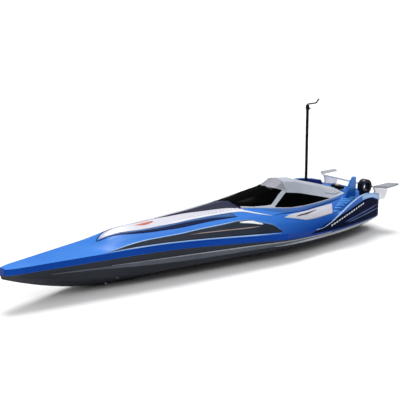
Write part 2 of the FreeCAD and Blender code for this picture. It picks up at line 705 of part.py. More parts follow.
antenna_at = ("antenna_at", "-antenna_side")
flange = cut(rod((*antenna_at, "side_deck_height - 2"), "socket_outer", "socket_height + 2"), hull_form)
stem = rod((*antenna_at, "side_deck_height - 5"), "socket_outer - 1.4", "socket_height + 5")
tube_space = rod((*antenna_at, "side_deck_height - 5"), "antenna_tube", 40)
subpart(cut(fuse(flange, stem), tube_space), "antenna_socket")
subpart(cut(
    rod((*antenna_at, "side_deck_height - 5"), "antenna_tube", "antenna_top - side_deck_height + 5"),
    rod((*antenna_at, "side_deck_height - 6"), "antenna_bore", 120),
), "antenna_tube")
wire = fuse(
    rod((0, 0, -8), "wire_size", "8 + cap_height + 1"),
    rod((0, 0, "cap_height + 1"), "wire_size", "wire_run", turned((0, 1, 0), 82)),
    rod(("wire_run * sin(82)", 0, "cap_height + 1 + wire_run * cos(82)"), "wire_size", "wire_rise",
        turned((0, 1, 0), 35)),
)
place(wire, (*antenna_at, "antenna_top"), turned((0, 0, 1), 139))
subpart(wire, "antenna_wire")
cap = cut(
    fuse(
        rod((0, 0, -2), "antenna_tube + 1.4", "cap_height + 2"),
        rod((0, 0, -2), "1.6", "3.4", turned((0, 1, 0), 60)),
    ),
    rod((0, 0, -3), "antenna_tube", 3),
    rod((0, 0, -1), "wire_size", 12),
)
place(cap, (*antenna_at, "antenna_top"), turned((0, 0, 1), 139))
subpart(cap, "antenna_cap")

# ---------------------------------------------------------------- propulsion

def in_screw_frame(thing, side):
    turn, at = screw_frame(side)
    return place(thing, at, turn)


def propeller():
    blades = []
    pitched_outwards = turned((0, 1, 0), 90) * turned((0, 0, 1), 90 - dim("blade_pitch"))
    for number in range(3):
        blade = box(
            ("-blade_thickness / 2", "-blade_chord / 2", 0),
            ("blade_thickness", "blade_chord", "prop_size / 2"),
        )
        blades.append(place(group(blade), turn=turned((0, 0, 1), 120 * number) * pitched_outwards))
    disc = rod((0, 0, "-prop_hub_length / 2"), "prop_size", "prop_hub_length")
    hub = rod((0, 0, "-prop_hub_length / 2"), "prop_hub", "prop_hub_length")
    return cut(fuse(hub, common(fuse(*blades), disc)), rod((0, 0, -20), "shaft_size", 40))


def nut():
    hexagon = DOC.addObject("Part::Prism", new_name("hexagon"))
    hexagon.Polygon = 6
    bind(hexagon, Circumradius="nut_size / 2", Height="nut_length")
    place(hexagon, (0, 0, "-prop_hub_length / 2 - nut_length"))
    return cut(hexagon, rod((0, 0, -20), "shaft_size", 40))


def coupling():
    sleeve = rod((0, 0, "coupling_start"), "coupling_size", "coupling_length")
    return cut(
        sleeve,
        rod((0, 0, 0), "shaft_size", "coupling_start + shaft_grip"),
        rod((0, 0, "coupling_start + shaft_grip"), "rotor_size", "coupling_length"),
    )


def motor():
    can = fuse(
        rod((0, 0, "motor_start"), "motor_size", "motor_length"),
        rod((0, 0, "motor_start - boss_length"), "motor_boss", "boss_length"),
        rod((0, 0, "motor_start + motor_length"), "motor_boss", "2"),
    )
    rotor_bore = rod((0, 0, "motor_start - boss_length"), "rotor_size + 2 * running_gap", "boss_length + 12")
    return cut(can, rotor_bore, *motor_screw_rods("motor_start", 4))


def motor_screw_rods(start, length):
    return [rod((f"{k} * motor_screw_circle / 2", 0, start), "motor_screw", length) for k in (-1, 1)]


all_motor_screws = []
for name, side in SIDES:
    subpart(in_screw_frame(propeller(), side), f"propeller_{name}")
    subpart(in_screw_frame(nut(), side), f"propeller_nut_{name}")
    shaft_end = "(prop_hub_length / 2 + nut_length + 1)"
    shaft = group(
        rod((0, 0, f"-{shaft_end}"), "shaft_size", f"coupling_start + shaft_grip - 1 + {shaft_end}")
    )
    subpart(in_screw_frame(shaft, side), f"propeller_shaft_{name}")
    tube = cut(
        rod((0, 0, "tube_start"), "tube_outer", "tube_end - tube_start"),
        rod((0, 0, "tube_start"), "shaft_size + 2 * running_gap", "tube_end - tube_start"),
    )
    subpart(in_screw_frame(tube, side), f"stern_tube_{name}")
    subpart(in_screw_frame(coupling(), side), f"shaft_coupling_{name}")
    rotor = group(rod((0, 0, "coupling_start + shaft_grip + 1"), "rotor_size", "rotor_length"))
    subpart(in_screw_frame(rotor, side), f"motor_rotor_{name}")
    subpart(in_screw_frame(motor(), side), f"motor_{name}")
    heads = [
        rod((f"{k} * motor_screw_circle / 2", 0, "motor_start - bulkhead - motor_screw_head"),
            "motor_screw + 2", "motor_screw_head")
        for k in (-1, 1)
    ]
    shanks = motor_screw_rods("motor_start - bulkhead", "bulkhead + 4")
    for head, shank in zip(heads, shanks):
        all_motor_screws.append(in_screw_frame(fuse(head, shank), side))
subpart(group(*all_motor_screws), "motor_screws")

turn, at = screw_frame(0)
wall_plate = box((-14, -60, "motor_start - bulkhead"), (50, 120, "bulkhead"))
openings = [
    rod((f"{k} * motor_screw_circle / 2", f"{side} * screw_spread", "motor_start - 20"), bore, 40)
    for _, side in SIDES for k, bore in ((-1, "motor_screw"), (0, "motor_boss"), (1, "motor_screw"))
]
plate = place(cut(wall_plate, *openings), at, turn)
collar_foot = dim("ledge_depth") + dim("ledge_thickness")
below_collar = layer(lambda x: -20.0, coaming_for_split(collar_foot + dim("moving_gap")))
subpart(common(common(plate, hull_cavity), below_collar), "motor_bulkhead")

# ---------------------------------------------------------------- battery, radio, switch

tray = cut(
    box(("tray_start", "-tray_width / 2", "tray_floor"), ("tray_length", "tray_width", "tray_height")),
    box(("tray_start + tray_wall", "-tray_width / 2 + tray_wall", "tray_floor + tray_wall"),
        ("tray_length - 2 * tray_wall", "tray_width - 2 * tray_wall", "tray_height")),
)
subpart(tray, "battery_tray")
cells = [
    rod((f"tray_start + tray_wall + 0.9 + {row} * (cell_length + 1)", f"{column} * (cell_size + cell_gap)",
         "tray_floor + tray_wall + cell_size / 2"), "cell_size", "cell_length", ALONG_X)
    for row in (0, 1) for column in (-1, 0, 1)
]
subpart(group(*cells), "battery_cells")
strap = cut(
    box(("tray_start + (tray_length - strap_width) / 2", "-tray_width / 2 - strap_thickness",
         "tray_floor + strap_rise"),
        ("strap_width", "tray_width + 2 * strap_thickness",
         "tray_wall + cell_size - strap_rise + strap_thickness")),
    box(("tray_start", "-tray_width / 2", "tray_floor"),
        ("tray_length", "tray_width", "tray_wall + cell_size")),
)
subpart(strap, "battery_strap")

board = box(
    ("board_start", "-board_width / 2", "board_height"),
    ("board_length", "board_width", "board_thickness"),
)
subpart(board, "receiver_board")
board_top = "board_height + board_thickness"
chips = [
    box(("board_start + 6", -6, board_top), (14, 10, 2)),
    box(("board_start + 26", -12, board_top), (9, 7, 1.6)),
    box(("board_start + 26", 3, board_top), (10, 10, 5)),
    rod(("board_start + 42", -9, board_top), 6, 9),
    rod(("board_start + 42", 4, board_top), 5, 7),
]
subpart(group(*chips), "receiver_components")

deck_plate = common(
    hull_cavity,
    box(("plate_start", -60, "plate_height"), ("plate_length", 120, "plate_thickness")),
)
subpart(deck_plate, "switch_plate")
plate_top = "plate_height + plate_thickness"
plate_middle = "plate_start + plate_length / 2"
slot = box(
    (f"{plate_middle} - (slider + switch_travel) / 2 - 0.2", "switch_side - slider_width / 2 - 0.2",
     f"{plate_top} + 2.5"),
    ("slider + switch_travel + 0.4", "slider_width + 0.4", 10),
)
switch_case = box(
    (f"{plate_middle} - switch_length / 2", "switch_side - switch_width / 2", plate_top),
    ("switch_length", "switch_width", "switch_height"),
)
subpart(cut(switch_case, slot), "switch_body")
slider = box(
    (f"{plate_middle} - (slider + switch_travel) / 2", "switch_side - slider_width / 2",
     f"{plate_top} + 2.8"),
    ("slider", "slider_width", "switch_height - 1"),
)
subpart(slider, "switch_slider")
socket = cut(
    rod((plate_middle, "-charge_side", plate_top), "charge_size", "charge_height"),
    rod((plate_middle, "-charge_side", f"{plate_top} + 2"), "charge_bore", "charge_height"),
)
subpart(socket, "charge_socket")

# ---------------------------------------------------------------- small hull fittings

pins = [
    rod(("contact_at", f"{side} * contact_spread", 0.7), "contact_size", "contact_length")
    for _, side in SIDES
]
subpart(group(*pins), "water_contacts")
plug = fuse(
    rod(("-plug_rim", 0, "plug_height"), "plug_flange", "plug_rim", ALONG_X),
    rod((0, 0, "plug_height"), "plug_size", 4, ALONG_X),
)
subpart(plug, "transom_plug")
hull_screws = []
for x, y in post_points():
    seat = post_floor(x, y) + dim("post_seat")
    hull_screws.append(fuse(
        rod((x, y, seat - dim("post_head_height")), "post_screw_head", "post_head_height"),
        rod((x, y, seat), "post_screw", seam_height(x) + dim("post_bite") - seat),
    ))
subpart(group(*hull_screws), "hull_screws")

# ---------------------------------------------------------------- check and write

def check():
    DOC.recompute()
    failed = [thing.Label for thing in DOC.Objects if {"Invalid", "Error"} & set(thing.State)]
    for thing in SUBPARTS:
        if thing.Shape.isNull() or not thing.Shape.isValid() or not thing.Shape.Solids:
            failed.append(thing.Label)
    if failed:
        raise RuntimeError(f"these failed: {failed}")


def write():
    os.makedirs("parts", exist_ok=True)
    for name in os.listdir("parts"):
        if name.endswith(".step"):
            os.remove(os.path.join("parts", name))
    for thing in SUBPARTS:
        thing.Shape.exportStep(f"parts/{thing.Label}.step")
        print(f"{thing.Label}: {len(thing.Shape.Solids)} solid(s), {thing.Shape.Volume / 1000:.2f} cm3")


check()
write()
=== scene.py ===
import math

import bpy
from mathutils import Matrix, Vector
from mathutils.bvhtree import BVHTree


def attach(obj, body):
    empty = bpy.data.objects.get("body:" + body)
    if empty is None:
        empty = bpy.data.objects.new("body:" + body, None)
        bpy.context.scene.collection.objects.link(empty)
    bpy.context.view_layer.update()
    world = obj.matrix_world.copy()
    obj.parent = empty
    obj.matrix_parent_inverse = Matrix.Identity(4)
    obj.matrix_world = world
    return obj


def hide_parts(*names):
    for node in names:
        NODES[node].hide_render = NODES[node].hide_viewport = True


# Looks for the radio-controlled speedboat. Shapes are laid out in the boat's lines
# frame, in millimetres: x = 0 at the transom and growing to the bow, y to port, z up
# from the keel pad. to_row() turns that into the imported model's frame, in metres.

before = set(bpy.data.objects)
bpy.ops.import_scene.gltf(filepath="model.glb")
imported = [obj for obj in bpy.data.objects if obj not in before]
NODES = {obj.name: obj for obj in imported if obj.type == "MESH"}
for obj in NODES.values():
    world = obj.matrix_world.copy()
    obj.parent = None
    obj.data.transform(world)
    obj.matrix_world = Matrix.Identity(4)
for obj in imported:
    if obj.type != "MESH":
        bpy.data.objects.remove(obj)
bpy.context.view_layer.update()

MM = 0.001
LENGTH = 440.0
WING_OVERHANG = 28.0
ORIGIN = (LENGTH - WING_OVERHANG) / 2


def to_row(x, y, z):
    return Vector(((x - ORIGIN) * MM, y * MM, z * MM))


# ---------------------------------------------------------------- hull lines

# The driving dimensions of part.py that set the hull's plan, its seam and its rim, in mm.
MAX_HALF, TRANSOM_HALF, BOW_HALF, WIDEST_AT = 59.8, 42.2, 6.5, 147.0
BEAM_POWER, NOSE_RUN, NOSE_NARROWING = 1.04, 12.0, 0.4
SEAM_AFT, SEAM_RISE, SEAM_RUN_SHARE, SEAM_POWER = 14.5, 15.3, 0.71, 1.3
RIM_BAND, RIM_SWELL, SWELL_FROM = 5.6, 0.8, 0.25
QUARTER_RISE, QUARTER_FRONT, QUARTER_RUN = 23.5, 110.0, 80.0
STERN_DROP, STERN_DROP_RUN, STERN_DROP_POWER = 4.9, 30.0, 1.5


def ease(value):
    value = min(max(value, 0.0), 1.0)
    return value * value * (3 - 2 * value)


def half_beam(x):
    if x < WIDEST_AT:
        return MAX_HALF - (MAX_HALF - TRANSOM_HALF) * (1 - x / WIDEST_AT) ** 2
    run = (x - WIDEST_AT) / (LENGTH - WIDEST_AT)
    nose = max(0.0, (x - LENGTH) / NOSE_RUN + 1)
    return (MAX_HALF - (MAX_HALF - BOW_HALF) * run ** BEAM_POWER) * (1 - NOSE_NARROWING * nose ** 2)


def seam_height(x):
    return SEAM_AFT + SEAM_RISE * ease(max(0.0, x / (SEAM_RUN_SHARE * LENGTH)) ** SEAM_POWER)


def rim_height(x):
    along = (x / LENGTH - SWELL_FROM) / (1 - SWELL_FROM)
    swell = RIM_SWELL * math.sin(math.pi * along) if 0 < along < 1 else 0.0
    quarter = QUARTER_RISE * ease((QUARTER_FRONT - x) / QUARTER_RUN)
    drop = STERN_DROP * max(0.0, 1 - x / STERN_DROP_RUN) ** STERN_DROP_POWER
    return seam_height(x) + RIM_BAND + swell + quarter - drop


def straight_of(points):
    """Straight runs through (x, value) points."""
    points = sorted(points)

    def value_at(x):
        x = min(max(x, points[0][0]), points[-1][0])
        for (x0, v0), (x1, v1) in zip(points, points[1:]):
            if x <= x1:
                return v0 + (v1 - v0) * (x - x0) / (x1 - x0)

    return value_at


def curve_of(points):
    """A smooth function through (x, value) points."""
    points = sorted(points)
    slopes = []
    for i, (x, value) in enumerate(points):
        before, after = points[max(i - 1, 0)], points[min(i + 1, len(points) - 1)]
        slopes.append((after[1] - before[1]) / (after[0] - before[0]))

    def value_at(x):
        x = min(max(x, points[0][0]), points[-1][0])
        for i in range(len(points) - 1):
            (x0, v0), (x1, v1) = points[i], points[i + 1]
            if x <= x1:
                run = x1 - x0
                t = (x - x0) / run
                return (
                    v0 * (1 + 2 * t) * (1 - t) ** 2 + v1 * t * t * (3 - 2 * t)
                    + run * (slopes[i] * t * (1 - t) ** 2 - slopes[i + 1] * t * t * (1 - t))
                )

    return value_at


# ---------------------------------------------------------------- materials


def paint(code):
    """Linear colour from a #rrggbb code."""
    parts = [int(code[i:i + 2], 16) / 255 for i in (1, 3, 5)]
    return (*[p / 12.92 if p < 0.04045 else ((p + 0.055) / 1.055) ** 2.4 for p in parts], 1.0)


class Graph:
    """Short forms for filling one material's node tree."""

    def __init__(self, tree):
        self.nodes, self.links = tree.nodes, tree.links

    def feed(self, slot, value):
        """Links a socket to a slot, or sets the slot to numbers or a #rrggbb colour."""
        if isinstance(value, bpy.types.NodeSocket):
            self.links.new(value, slot)
        else:
            slot.default_value = paint(value) if isinstance(value, str) else value

    def add(self, kind, output, inputs):
        """Adds a node, feeds its named inputs and gives back one of its outputs."""
        node = self.nodes.new("ShaderNode" + kind)
        for name, value in inputs.items():
            self.feed(node.inputs[name], value)
        return node.outputs[output]

    def maths(self, operation, *values):
        node = self.nodes.new("ShaderNodeMath")
        node.operation = operation
        for slot, value in zip(node.inputs, values):
            self.feed(slot, value)
        return node.outputs["Value"]

    def noise(self, vector, scale, detail):
        return self.add("TexNoise", "Fac", {"Vector": vector, "Scale": scale, "Detail": detail})

    def rise(self, value, low, high):
        """0 up to low, 1 from high on, and even between them."""
        return self.add("MapRange", "Result", {"Value": value, "From Min": low, "From Max": high})

    def mix(self, share, first, second):
        """The first colour where the share is 0, the second where it is 1."""
        return self.add("MixRGB", "Color", {"Fac": share, "Color1": first, "Color2": second})

    def axes(self, vector):
        node = self.nodes.new("ShaderNodeSeparateXYZ")
        self.links.new(vector, node.inputs["Vector"])
        return [node.outputs[axis] for axis in "XYZ"]


BLOTCH_DETAIL, GRAIN_DETAIL = 4.0, 3.0
BLOTCH_FROM, BLOTCH_TO = 0.3, 0.7
GLOSS_BELOW, GLOSS_ABOVE, LEAST_ROUGH = 0.06, 0.08, 0.02
RELIEF_STRENGTH, COAT_ROUGH = 0.35, 0.08


def material(name, light, dark, rough=0.35, blotch=35.0, grain=1500.0, relief=0.01, coat=0.0,
             metallic=0.0, specular=0.5, ior=1.5, stretch=(1.0, 1.0, 1.0), pattern=None):
    """Principled plastic or metal: blotchy colour, and a fine grain in its gloss and its
    relief, which is in mm."""
    made = bpy.data.materials.new(name)
    made.use_nodes = True
    graph = Graph(made.node_tree)
    coords = graph.nodes.new("ShaderNodeTexCoord").outputs
    place = graph.add("Mapping", "Vector", {"Vector": coords["Object"], "Scale": stretch})
    ramp = graph.nodes.new("ShaderNodeValToRGB")
    stops = ramp.color_ramp.elements
    for stop, position, code in zip(stops, (BLOTCH_FROM, BLOTCH_TO), (dark, light)):
        stop.position = position
        stop.color = paint(code)
    graph.feed(ramp.inputs["Fac"], graph.noise(place, blotch, BLOTCH_DETAIL))
    fine = graph.noise(place, grain, GRAIN_DETAIL)
    gloss = graph.add("MapRange", "Result", {
        "Value": fine, "To Min": max(rough - GLOSS_BELOW, LEAST_ROUGH), "To Max": rough + GLOSS_ABOVE,
    })
    height, colour = fine, ramp.outputs["Color"]
    if pattern:
        height, colour = pattern(graph, coords, height, colour)
    normal = graph.add("Bump", "Normal", {
        "Strength": RELIEF_STRENGTH, "Distance": relief * MM, "Height": height,
    })
    shader = graph.nodes["Principled BSDF"]
    for slot, value in {
        "Base Color": colour, "Metallic": metallic, "Roughness": gloss, "Normal": normal,
        "Specular IOR Level": specular, "IOR": ior, "Coat Weight": coat, "Coat Roughness": COAT_ROUGH,
    }.items():
        graph.feed(shader.inputs[slot], value)
    return made


MESH_SCALE, HOLE_EDGE, HOLE_RIM, MESH_HOLE = 620.0, 0.22, 0.34, "#7d8285"


def dotted(graph, coords, height, colour):
    """A fine perforated mesh: rows of small dark dots."""
    cells = graph.add("TexVoronoi", "Distance", {
        "Vector": coords["Object"], "Scale": MESH_SCALE, "Randomness": 0.0,
    })
    solid = graph.rise(cells, HOLE_EDGE, HOLE_RIM)
    return solid, graph.mix(solid, MESH_HOLE, colour)


# A face leans inwards where its y and its normal's y have opposite signs.
# Painted shade: the faces of the raised quarters that lean inwards are coloured navy.
INWARD_MOST, INNER_FROM, INNER_AFT_OF, INNER_SHADE_NAVY = -8.0, 33.0, 100.0, "#14266e"


def shaded_inner_quarter(graph, coords, x, y):
    """1 on the inner faces of the raised stern quarters, which are painted navy as shade, else 0."""
    facing = graph.axes(coords["Normal"])[1]
    inward = graph.maths("LESS_THAN", graph.maths("MULTIPLY", y, facing), INWARD_MOST * MM)
    outboard = graph.maths("GREATER_THAN", graph.maths("ABSOLUTE", y), INNER_FROM * MM)
    aft = graph.maths("LESS_THAN", x, (INNER_AFT_OF - ORIGIN) * MM)
    return graph.maths("MULTIPLY", graph.maths("MULTIPLY", inward, outboard), aft)


# Painted shade: the blue moulding turns a deeper blue low on its sides, towards the stern and on the nose
# face.
SHADE_LOW, SHADE_HIGH, SHADE_SLOPE, NOSE_FACE, SHADE_BLUE = 18.0, 40.0, 0.06, 1.0, "#033a92"


def painted_deck_shade(graph, coords, height, colour):
    """Painted shade on the blue moulding: deeper blue low on its sides, towards the stern and on its
    nose, and navy painted as shade on the inner faces of its raised quarters."""
    x, y, z = graph.axes(coords["Object"])
    level = graph.maths("MULTIPLY_ADD", x, SHADE_SLOPE, z)
    above = graph.rise(level, SHADE_LOW * MM, SHADE_HIGH * MM)
    behind_nose = graph.maths("LESS_THAN", x, (LENGTH - NOSE_FACE - ORIGIN) * MM)
    blue = graph.mix(graph.maths("MULTIPLY", above, behind_nose), SHADE_BLUE, colour)
    return height, graph.mix(shaded_inner_quarter(graph, coords, x, y), blue, INNER_SHADE_NAVY)


# Painted shade on the roof's forward-facing brow.
ROOF_CREASE_X, BROW_LOW, BROW_HIGH, BROW_SHADE_GREY = 112.0, 54.0, 57.0, "#8f909b"


def shaded_brow(graph, coords, height, colour):
    """The roof's sloping brow, ahead of its crease and above the windows, is painted greyer as shade."""
    x, _, z = graph.axes(coords["Object"])
    ahead = graph.maths("GREATER_THAN", x, (ROOF_CREASE_X - ORIGIN) * MM)
    over = graph.rise(z, BROW_LOW * MM, BROW_HIGH * MM)
    return height, graph.mix(graph.maths("MULTIPLY", ahead, over), colour, BROW_SHADE_GREY)


WING_TIP_FROM, WING_WHITE = 36.8, "#fbfbfd"


def white_centre(graph, coords, height, colour):
    """The wing is bare white between its struts and grey at its tips."""
    side = graph.maths("ABSOLUTE", graph.axes(coords["Object"])[1])
    tip = graph.maths("GREATER_THAN", side, WING_TIP_FROM * MM)
    return height, graph.mix(tip, WING_WHITE, colour)


FINISHES = {
    "deck_blue": dict(light="#3a80da", dark="#2c70cc", rough=0.32, blotch=14, relief=0.004,
                      specular=0.09, pattern=painted_deck_shade),
    "strip_blue": dict(light="#0344a6", dark="#013b98", rough=0.35, blotch=14, relief=0.004,
                       specular=0.06),
    # Painted highlight on the louvre slats and painted shade in the bed between them.
    "louvre_highlight_blue": dict(light="#57a0ee", dark="#468fdf", rough=0.32, blotch=14, relief=0.004,
                        specular=0.2),
    "slot_shade_blue": dict(light="#0d4a9c", dark="#0a4090", rough=0.4, blotch=14, relief=0.004,
                      specular=0.06),
    "fin_blue": dict(light="#2a7fdc", dark="#1e6cc9", rough=0.3, coat=0.15, blotch=30, relief=0.004),
    "hull_charcoal": dict(light="#2d3139", dark="#252830", rough=0.5, blotch=22, relief=0.012,
                          specular=0.14),
    "rail_highlight_grey": dict(light="#b4bac4", dark="#a2a8b2", rough=0.4, blotch=30, relief=0.01, specular=0.3),
    "strake_reflection_grey": dict(light="#5d626d", dark="#4a4e58", rough=0.45, blotch=30, relief=0.01,
                        specular=0.2),
    "silver": dict(light="#c9cad3", dark="#b6b4c2", rough=0.38, metallic=0.1, blotch=45,
                   stretch=(0.12, 1.0, 1.0), relief=0.004, specular=0.3),
    "hatch_silver": dict(light="#bcc3cd", dark="#aab0bb", rough=0.5, blotch=30, specular=0.15,
                         pattern=shaded_brow),
    "crease_highlight": dict(light="#e3e6ea", dark="#d8dbe1", rough=0.4, relief=0.003, specular=0.2),
    "mesh_silver": dict(light="#b9bdc3", dark="#a9adb3", rough=0.6, relief=0.08, specular=0.06,
                        pattern=dotted),
    "tinted": dict(light="#060707", dark="#020203", rough=0.12, specular=0.04, ior=1.12, blotch=18,
                   relief=0.001),
    "near_black": dict(light="#15161b", dark="#0c0d11", rough=0.4, relief=0.004, specular=0.05),
    "ridge_dark": dict(light="#262a44", dark="#171b34", rough=0.4, relief=0.004, specular=0.05),
    "navy": dict(light="#021a4a", dark="#01123a", rough=0.35, blotch=20, relief=0.004, specular=0.04),
    "quarter_navy": dict(light="#050f30", dark="#030a24", rough=0.35, blotch=20, relief=0.004,
                         specular=0.01),
    "grey_blue": dict(light="#3f66a0", dark="#2f568e", rough=0.35, relief=0.004, specular=0.1),
    "dusty_blue": dict(light="#5482b8", dark="#4775ab", rough=0.35, relief=0.004, specular=0.25),
    "channel_dark": dict(light="#1e2836", dark="#161d2a", rough=0.5, relief=0.02, specular=0.08),
    "white": dict(light="#eef0f6", dark="#e2e5ee", rough=0.35, relief=0.003, specular=0.3),
    # Painted highlight: pale blue for the lit lips, rims and edges of the blue moulding.
    "painted_highlight": dict(light="#a3c4ee", dark="#8fb4e4", rough=0.35, relief=0.003, specular=0.3),
    "tan_line": dict(light="#a4918d", dark="#8f7c79", rough=0.4, relief=0.003, specular=0.2),
    "orange": dict(light="#c9623c", dark="#b5522f", rough=0.4, relief=0.003, specular=0.2),
    "purple": dict(light="#3e4a86", dark="#2f3a72", rough=0.4, relief=0.003, specular=0.2),
    "wing_silver": dict(light="#9ea1a8", dark="#8d9098", rough=0.45, blotch=30, relief=0.008,
                        specular=0.3, pattern=white_centre),
    "strut_white": dict(light="#fbfbff", dark="#f2f3fa", rough=0.4, relief=0.006, specular=0.3),
    "ring_black": dict(light="#0e1a33", dark="#070d1a", rough=0.3, coat=0.05, relief=0.01,
                       specular=0.15),
    "black_plastic": dict(light="#0d0e10", dark="#060708", rough=0.45, relief=0.015, specular=0.08),
    "wire_black": dict(light="#0c0d0f", dark="#050607", rough=0.5, relief=0.01, specular=0.08),
    "latch_cream": dict(light="#cfc8ba", dark="#b9b1a2", rough=0.4, relief=0.02, specular=0.3),
    "black_rubber": dict(light="#18181a", dark="#0f0f10", rough=0.75, relief=0.03, specular=0.15),
    "foam_black": dict(light="#222224", dark="#121213", rough=0.9, grain=900, relief=0.15,
                       specular=0.1),
    "grey_plastic": dict(light="#6c6f75", dark="#606368", rough=0.5, relief=0.02),
    "cell_wrap": dict(light="#2f6d54", dark="#265c46", rough=0.35, coat=0.3, relief=0.01),
    "board_green": dict(light="#1d6b3c", dark="#175630", rough=0.4, coat=0.2, blotch=300, relief=0.03),
    "component_black": dict(light="#26272a", dark="#1a1b1d", rough=0.45, relief=0.02),
    "switch_red": dict(light="#b3271f", dark="#9a1e18", rough=0.35, relief=0.01),
    "brass": dict(light="#c9a65a", dark="#ad8a42", rough=0.3, metallic=1.0, stretch=(0.2, 1, 1),
                  relief=0.01),
    "steel": dict(light="#b9bcc1", dark="#a2a5aa", rough=0.28, metallic=1.0, stretch=(0.2, 1, 1),
                  relief=0.01),
    "propeller_black": dict(light="#121316", dark="#0a0b0d", rough=0.38, relief=0.01, specular=0.15),
    "motor_can": dict(light="#a3a6ab", dark="#8d9095", rough=0.32, metallic=0.9, stretch=(0.3, 1, 1),
                      relief=0.01),
}
MATERIALS = {name: material(name, **facts) for name, facts in FINISHES.items()}

NODE_FINISH = {
    "lower_hull": "hull_charcoal", "deck_shell": "deck_blue", "canopy_hatch": "hatch_silver",
    "windshield": "tinted", "side_window_port": "tinted", "side_window_starboard": "tinted",
    "hatch_seal": "foam_black", "rear_wing": "wing_silver", "wing_strut_port": "strut_white",
    "wing_strut_starboard": "strut_white", "wing_screws": "steel", "stern_fin": "fin_blue",
    "stern_ring": "ring_black", "hatch_latch": "black_plastic", "latch_screw": "latch_cream",
    "antenna_socket": "black_rubber", "antenna_tube": "black_plastic", "antenna_wire": "wire_black",
    "antenna_cap": "black_plastic", "motor_bulkhead": "grey_plastic", "motor_screws": "steel",
    "battery_tray": "grey_plastic", "battery_cells": "cell_wrap", "battery_strap": "black_rubber",
    "receiver_board": "board_green", "receiver_components": "component_black",
    "switch_plate": "grey_plastic", "switch_body": "component_black", "switch_slider": "switch_red",
    "charge_socket": "component_black", "water_contacts": "steel", "transom_plug": "black_rubber",
    "hull_screws": "steel",
}
for side in ("port", "starboard"):
    NODE_FINISH.update({
        f"propeller_{side}": "propeller_black", f"propeller_nut_{side}": "brass",
        f"propeller_shaft_{side}": "steel", f"stern_tube_{side}": "brass",
        f"shaft_coupling_{side}": "black_rubber", f"motor_rotor_{side}": "steel",
        f"motor_{side}": "motor_can",
    })
for name, finish in NODE_FINISH.items():
    NODES[name].data.materials.clear()
    NODES[name].data.materials.append(MATERIALS[finish])

# ---------------------------------------------------------------- surface graphics


def skin(*names):
    """A search tree over CAD nodes' surfaces, in the row frame."""
    points, faces = [], []
    for name in names:
        mesh = NODES[name].data
        start = len(points)
        points += [v.co.copy() for v in mesh.vertices]
        faces += [[start + i for i in face.vertices] for face in mesh.polygons]
    return BVHTree.FromPolygons(points, faces)


DECK = skin("deck_shell")
HULL = skin("lower_hull")
HATCH = skin("canopy_hatch", "windshield", "side_window_port", "side_window_starboard")


def from_above(tree, x, y):
    point, normal, *_ = tree.ray_cast(to_row(x, y, 200), Vector((0, 0, -1)))
    return point, normal


def from_port(tree, x, z):
    point, normal, *_ = tree.ray_cast(to_row(x, 200, z), Vector((0, -1, 0)))
    return point, normal


def new_piece(name, points, faces, finish, body="boat"):
    mesh = bpy.data.meshes.new(name)
    mesh.from_pydata([tuple(p) for p in points], [], faces)
    mesh.materials.append(MATERIALS[finish])
    mesh.update()
    mesh.shade_smooth()
    piece = bpy.data.objects.new(name, mesh)
    bpy.context.scene.collection.objects.link(piece)
    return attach(piece, body)


def mirrored(points, faces):
    """Adds the starboard copy of a port mesh."""
    count = len(points)
    other = [Vector((p.x, -p.y, p.z)) for p in points]
    return points + other, faces + [[i + count for i in reversed(face)] for face in faces]


def sandwich(upper, lower):
    """A closed mesh between two grids of points with the same rows."""
    rows, across = len(upper), len(upper[0])
    top = [p for row in upper for p in row]
    bottom = [p for row in lower for p in row]
    count = len(top)
    faces = []
    for i in range(rows - 1):
        for j in range(across - 1):
            a = i * across + j
            b, c, d = a + 1, a + across + 1, a + across
            faces += [[a, b, c, d], [count + d, count + c, count + b, count + a]]
    edge = list(range(across))
    edge += [i * across + across - 1 for i in range(1, rows)]
    edge += [(rows - 1) * across + j for j in reversed(range(across - 1))]
    edge += [i * across for i in reversed(range(1, rows - 1))]
    for a, b in zip(edge, edge[1:] + edge[:1]):
        faces.append([b, a, count + a, count + b])
    return top + bottom, faces


SUNK = 0.3  # how deep a decal's underside lies in the surface, in mm


def slab(rows, lift, depth=SUNK):
    """A closed thin slab over a grid of (point, normal): lifted outwards, sunk by depth."""
    upper = [[p + n * lift * MM for p, n in row] for row in rows]
    lower = [[p - n * depth * MM for p, n in row] for row in rows]
    return sandwich(upper, lower)


def joined(*meshes):
    points, faces = [], []
    for more, sides in meshes:
        faces += [[i + len(points) for i in face] for face in sides]
        points += list(more)
    return points, faces


def samples(first, last, step):
    """Evenly spaced values from first to last, about a step apart."""
    count = max(2, int(abs(last - first) / step) + 1)
    return [first + (last - first) * i / (count - 1) for i in range(count)]


def patch(name, inner, outer, finish, span=None, place="above", tree=None, lift=0.12, across=7,
          step=3.0, both=True, body="boat", follow=curve_of):
    """A thin decal between two curves over x. Its values are shares of the half beam when
    placed from above, or heights when placed from the side."""
    tree = tree or DECK
    low, high = follow(inner), follow(outer)
    first, last = span or (max(min(inner)[0], min(outer)[0]), min(max(inner)[0], max(outer)[0]))
    rows = []
    for x in samples(first, last, step):
        values = [low(x) + (high(x) - low(x)) * j / (across - 1) for j in range(across)]
        if place == "above":
            row = [from_above(tree, x, value * half_beam(x)) for value in values]
        else:
            row = [from_port(tree, x, value) for value in values]
        if all(point is not None for point, _ in row):
            rows.append(row)
    points, faces = slab(rows, lift)
    if both:
        points, faces = mirrored(points, faces)
    return new_piece(name, points, faces, finish, body)


POINTED = 0.05  # the share of a line's width that is left at its ends


